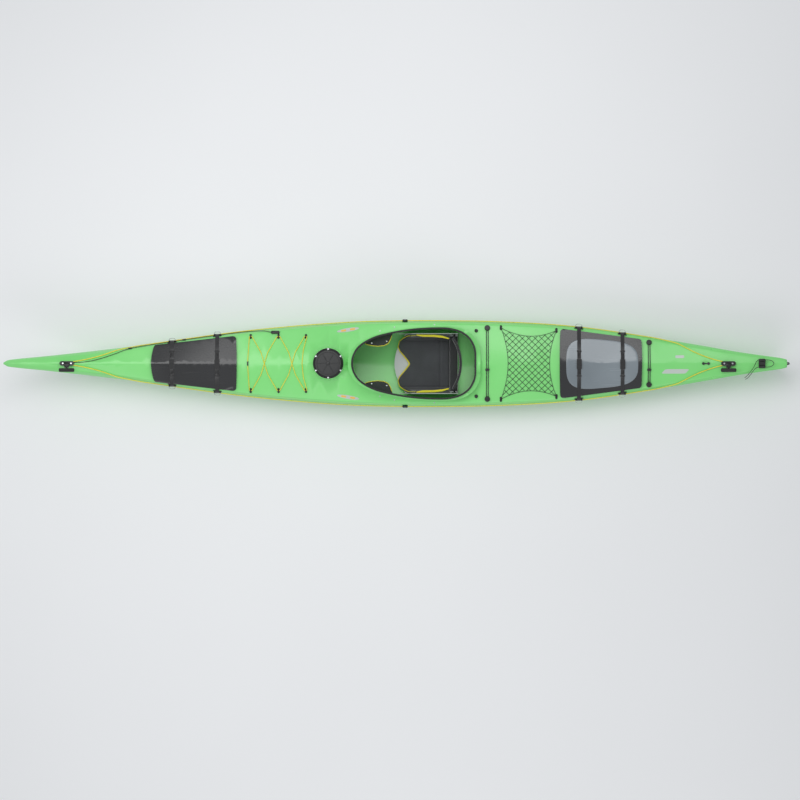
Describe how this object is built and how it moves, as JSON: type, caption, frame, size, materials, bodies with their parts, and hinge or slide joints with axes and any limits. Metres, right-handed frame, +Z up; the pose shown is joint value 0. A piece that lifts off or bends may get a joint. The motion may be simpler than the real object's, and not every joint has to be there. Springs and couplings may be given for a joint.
{
  "type": "touring sea kayak",
  "caption": "Decked single-seat touring sea kayak with hatches, open cockpit, adjustable seat and footrests, deck lines and a stern rudder bracket.",
  "frame": {"origin": "on the ground under the middle of the boat's overall length, on its centre plane", "axes": "+X towards the stern along the boat, +Y to starboard, +Z up"},
  "size_m": [5.1823, 0.5906, 0.3933],
  "materials": {
    "hull_plastic": "soft gloss",
    "cover_plastic": "gloss",
    "white_plastic": "gloss",
    "grey_seat_plastic": "gloss",
    "yellow_cord": "braided",
    "black_cord": "braided",
    "black_rubber": "satin",
    "seat_fabric": "woven",
    "bright_steel": "bright",
    "bulkhead_foam": "matte",
    "strap_webbing": "webbing",
    "black_plastic": "satin"
  },
  "bodies": {
    "boat": {"cable_exits": "white_plastic", "cargo_net": "black_cord", "coaming_hooks": "black_plastic", "coaming_trim": "black_rubber", "cockpit_coaming": "hull_plastic", "cord_locks": "black_plastic", "day_hatch_ring": "black_plastic", "deck": "hull_plastic", "deck_bungees": "black_cord", "deck_eye": "black_plastic", "deck_eyelets": "black_plastic", "deck_lines": "yellow_cord", "deck_screws": "bright_steel", "footrest_bolts": "bright_steel", "footrest_rails": "black_plastic", "foredeck_lacing": "yellow_cord", "front_bulkhead": "bulkhead_foam", "front_hatch_rim": "black_plastic", "handle_bases": "black_plastic", "hull": "hull_plastic", "lacing_sleeve": "black_plastic", "line_eyes": "black_plastic", "pintle_bracket": "black_plastic", "rear_bulkhead": "bulkhead_foam", "rear_hatch_rim": "black_plastic", "rest_cord": "black_cord", "rudder_rest": "black_plastic", "seat_cushion": "seat_fabric", "seat_pan": "grey_seat_plastic", "strap_anchors": "black_plastic", "strap_rings": "bright_steel", "thigh_braces": "black_plastic", "thigh_pads": "seat_fabric", "towline": "black_cord", "towline_fairleads": "black_plastic"},
    "front_hatch_cover_body": {"front_hatch_cover": "cover_plastic", "front_hatch_gasket": "black_rubber"},
    "front_hatch_front_strap_port_body": {"front_hatch_front_strap_port": "strap_webbing"},
    "front_hatch_front_strap_starboard_body": {"front_hatch_front_strap_starboard": "strap_webbing"},
    "front_hatch_rear_strap_port_body": {"front_hatch_rear_strap_port": "strap_webbing"},
    "front_hatch_rear_strap_starboard_body": {"front_hatch_rear_strap_starboard": "strap_webbing"},
    "rear_hatch_cover_body": {"rear_hatch_cover": "cover_plastic", "rear_hatch_gasket": "black_rubber"},
    "rear_hatch_front_strap_port_body": {"rear_hatch_front_strap_port": "strap_webbing"},
    "rear_hatch_front_strap_starboard_body": {"rear_hatch_front_strap_starboard": "strap_webbing"},
    "rear_hatch_rear_strap_port_body": {"rear_hatch_rear_strap_port": "strap_webbing"},
    "rear_hatch_rear_strap_starboard_body": {"rear_hatch_rear_strap_starboard": "strap_webbing"},
    "day_seal_body": {"day_hatch_seal": "black_rubber"},
    "day_lid_body": {"day_hatch_lid": "black_plastic"},
    "bow_toggle_body": {"bow_toggle": "black_rubber"},
    "stern_toggle_body": {"stern_toggle": "black_rubber"},
    "footrest_pedal_port_body": {"footrest_pedal_port": "black_plastic"},
    "footrest_pedal_starboard_body": {"footrest_pedal_starboard": "black_plastic"},
    "backrest_body": {"backrest_shell": "black_plastic", "backrest_pad": "seat_fabric"}
  },
  "joints": [
    {"name": "front_hatch_lift", "type": "slide", "parent": "boat", "child": "front_hatch_cover_body", "axis": [0, 0, 1], "range_m": [0, 0.04]},
    {"name": "front_hatch_front_strap_port_swing", "type": "hinge", "parent": "boat", "child": "front_hatch_front_strap_port_body", "pos_m": [-1.488, -0.14813, 0.2266], "axis": [1, 0, 0], "range_deg": [0, 110]},
    {"name": "front_hatch_front_strap_starboard_swing", "type": "hinge", "parent": "boat", "child": "front_hatch_front_strap_starboard_body", "pos_m": [-1.488, 0.14813, 0.2266], "axis": [-1, 0, 0], "range_deg": [0, 110]},
    {"name": "front_hatch_rear_strap_port_swing", "type": "hinge", "parent": "boat", "child": "front_hatch_rear_strap_port_body", "pos_m": [-1.19, -0.19067, 0.2189], "axis": [1, 0, 0], "range_deg": [0, 110]},
    {"name": "front_hatch_rear_strap_starboard_swing", "type": "hinge", "parent": "boat", "child": "front_hatch_rear_strap_starboard_body", "pos_m": [-1.19, 0.19067, 0.2189], "axis": [-1, 0, 0], "range_deg": [0, 110]},
    {"name": "rear_hatch_lift", "type": "slide", "parent": "boat", "child": "rear_hatch_cover_body", "axis": [0, 0, 1], "range_m": [0, 0.04]},
    {"name": "rear_hatch_front_strap_port_swing", "type": "hinge", "parent": "boat", "child": "rear_hatch_front_strap_port_body", "pos_m": [1.199, -0.24058, 0.19545], "axis": [1, 0, 0], "range_deg": [0, 110]},
    {"name": "rear_hatch_front_strap_starboard_swing", "type": "hinge", "parent": "boat", "child": "rear_hatch_front_strap_starboard_body", "pos_m": [1.199, 0.24058, 0.19545], "axis": [-1, 0, 0], "range_deg": [0, 110]},
    {"name": "rear_hatch_rear_strap_port_swing", "type": "hinge", "parent": "boat", "child": "rear_hatch_rear_strap_port_body", "pos_m": [1.486, -0.20171, 0.19772], "axis": [1, 0, 0], "range_deg": [0, 110]},
    {"name": "rear_hatch_rear_strap_starboard_swing", "type": "hinge", "parent": "boat", "child": "rear_hatch_rear_strap_starboard_body", "pos_m": [1.486, 0.20171, 0.19772], "axis": [-1, 0, 0], "range_deg": [0, 110]},
    {"name": "day_hatch_lift", "type": "slide", "parent": "boat", "child": "day_seal_body", "axis": [0, 0, 1], "range_m": [0, 0.03]},
    {"name": "day_hatch_turn", "type": "hinge", "parent": "day_seal_body", "child": "day_lid_body", "pos_m": [-0.456, 0, 0.37], "axis": [0, 0, 1], "range_deg": [0, 280]},
    {"name": "bow_toggle_swing", "type": "hinge", "parent": "boat", "child": "bow_toggle_body", "pos_m": [-2.176, -0.0225, 0.36117], "axis": [-1, 0, 0], "range_deg": [0, 100]},
    {"name": "stern_toggle_swing", "type": "hinge", "parent": "boat", "child": "stern_toggle_body", "pos_m": [2.184, -0.0225, 0.27299], "axis": [-1, 0, 0], "range_deg": [0, 100]},
    {"name": "footrest_port_slide", "type": "slide", "parent": "boat", "child": "footrest_pedal_port_body", "axis": [0.9936, -0.1127, -0.0012], "range_m": [-0.145, 0.145]},
    {"name": "footrest_starboard_slide", "type": "slide", "parent": "boat", "child": "footrest_pedal_starboard_body", "axis": [0.9936, 0.1127, -0.0012], "range_m": [-0.145, 0.145]},
    {"name": "backrest_recline", "type": "hinge", "parent": "boat", "child": "backrest_body", "pos_m": [0.372, 0, 0.12], "axis": [0, 1, 0], "range_deg": [-8, 20]}
  ],
  "couplings": [
    {"joint": "front_hatch_front_strap_port_swing", "follows": "front_hatch_lift", "rad_per_m": 47.9},
    {"joint": "front_hatch_front_strap_starboard_swing", "follows": "front_hatch_lift", "rad_per_m": 47.9},
    {"joint": "front_hatch_rear_strap_port_swing", "follows": "front_hatch_lift", "rad_per_m": 47.9},
    {"joint": "front_hatch_rear_strap_starboard_swing", "follows": "front_hatch_lift", "rad_per_m": 47.9},
    {"joint": "rear_hatch_front_strap_port_swing", "follows": "rear_hatch_lift", "rad_per_m": 47.9},
    {"joint": "rear_hatch_front_strap_starboard_swing", "follows": "rear_hatch_lift", "rad_per_m": 47.9},
    {"joint": "rear_hatch_rear_strap_port_swing", "follows": "rear_hatch_lift", "rad_per_m": 47.9},
    {"joint": "rear_hatch_rear_strap_starboard_swing", "follows": "rear_hatch_lift", "rad_per_m": 47.9},
    {"joint": "day_hatch_turn", "follows": "day_hatch_lift", "rad_per_m": 160}
  ]
}
